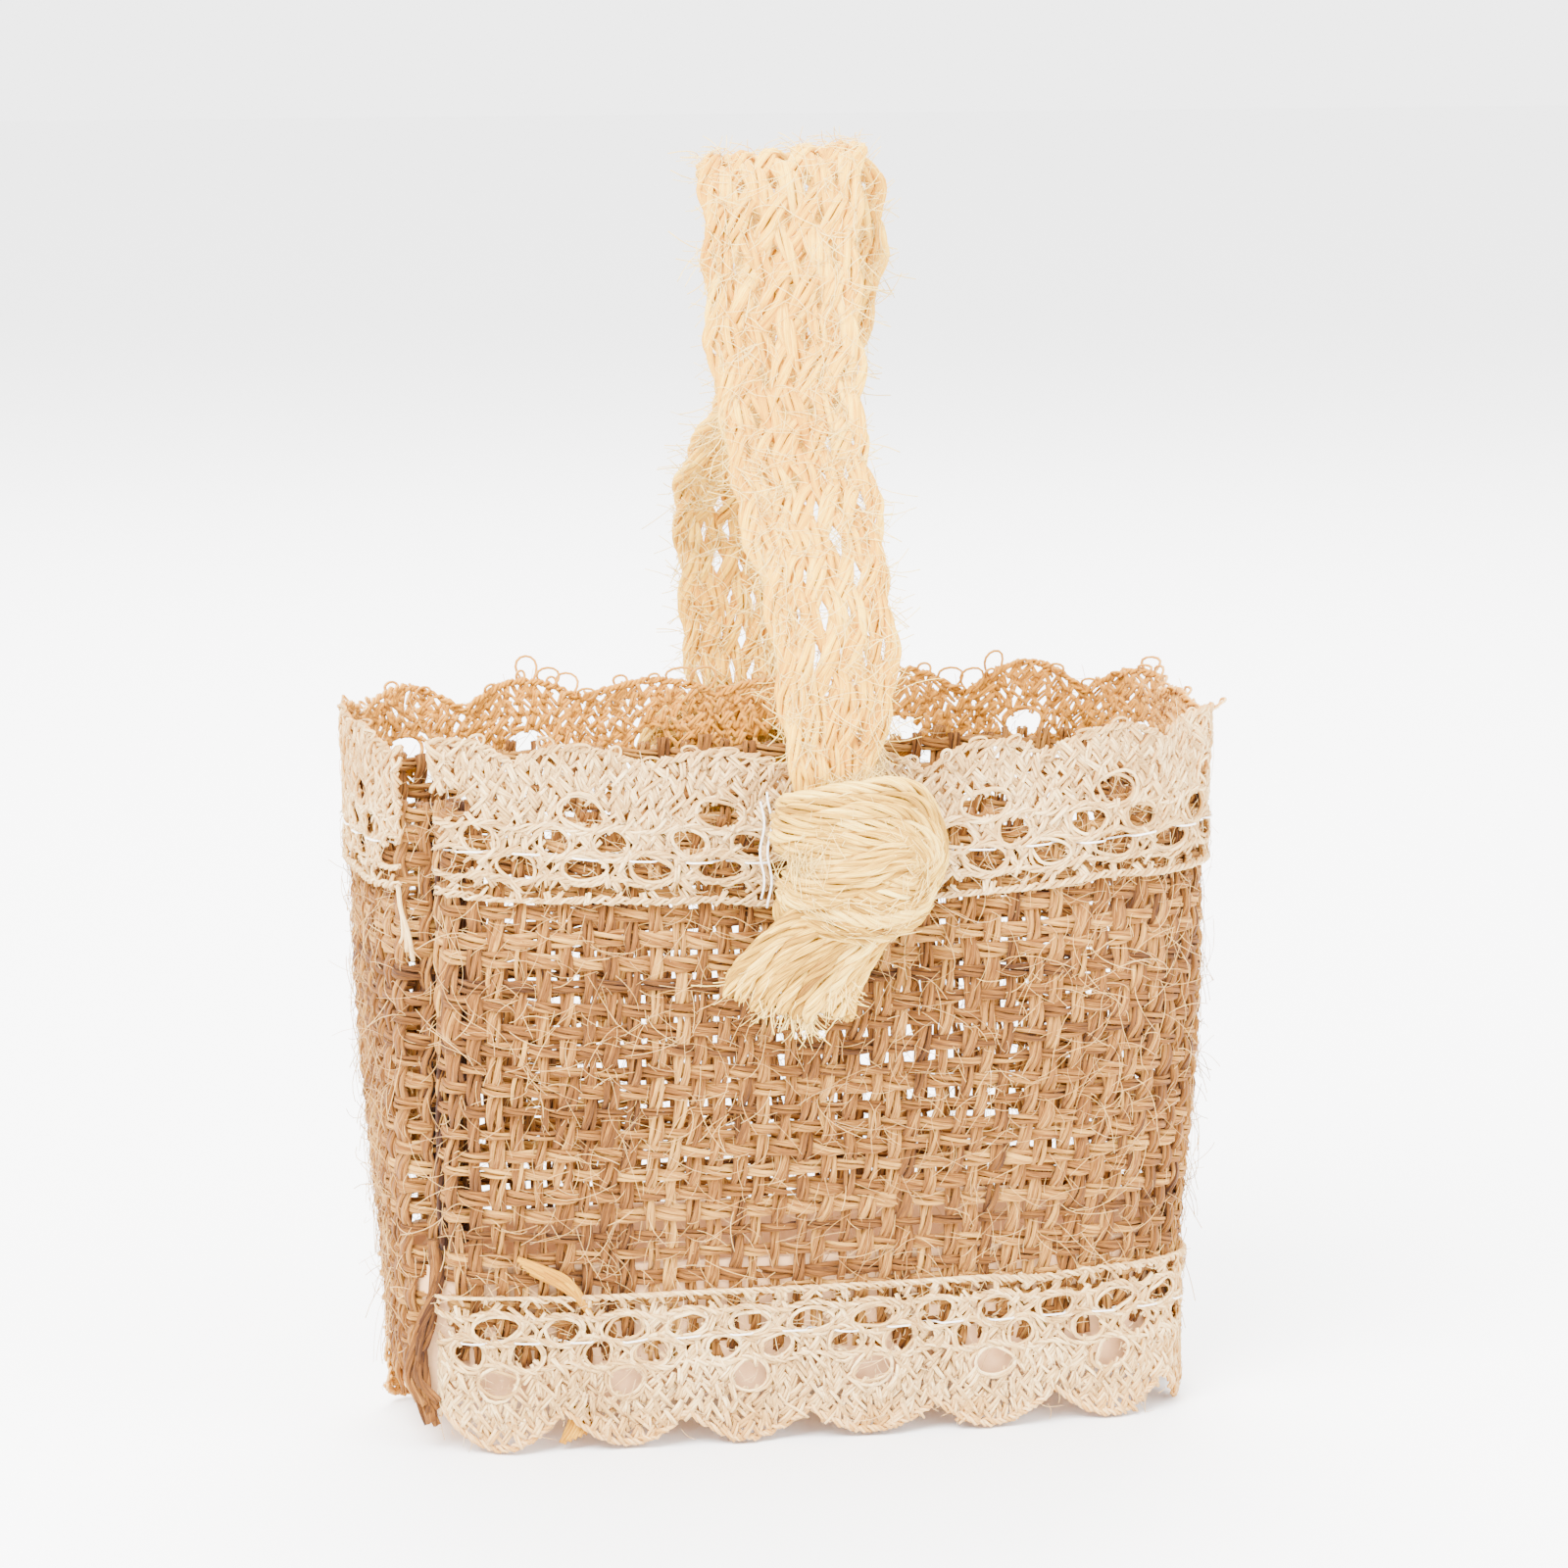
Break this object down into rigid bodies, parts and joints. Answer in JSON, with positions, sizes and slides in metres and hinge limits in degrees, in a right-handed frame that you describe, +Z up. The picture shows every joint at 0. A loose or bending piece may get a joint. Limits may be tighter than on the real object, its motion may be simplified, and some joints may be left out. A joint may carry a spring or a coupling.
{
  "type": "flower girl basket",
  "caption": "Small soft-sided burlap basket with a scalloped lace trim at rim and foot and a knotted braid handle that swings over the mouth",
  "frame": {"origin": "centre of the basket's footprint, on the surface it stands on", "axes": "+X along the basket's width, +Y from the front with the shown knot to the back, +Z up"},
  "size_m": [0.0968, 0.0688, 0.1408],
  "materials": {
    "burlap": "coarse plain-weave burlap",
    "card": "smooth pale card",
    "cotton_lace": "crocheted cotton",
    "white_thread": "sewing thread",
    "golden_jute": "raw golden jute",
    "cream_jute": "bleached jute braid"
  },
  "bodies": {
    "basket": {"burlap_wall": "burlap", "base_card": "card", "lower_lace": "cotton_lace", "upper_lace": "cotton_lace", "seam_thread": "burlap", "lower_lace_thread": "white_thread", "upper_lace_thread": "white_thread", "lace_yarn_tail": "cotton_lace", "seam_strand": "burlap", "gold_slub": "golden_jute", "front_knot": "cream_jute", "back_knot": "cream_jute", "front_knot_stitches": "white_thread", "back_knot_stitches": "white_thread"},
    "handle": {"handle_strap": "cream_jute"}
  },
  "joints": [
    {"name": "handle_swing", "type": "hinge", "parent": "basket", "child": "handle", "pos_m": [0.0005, 0, 0.0745], "axis": [0, 1, 0], "range_deg": [-35, 35]}
  ]
}
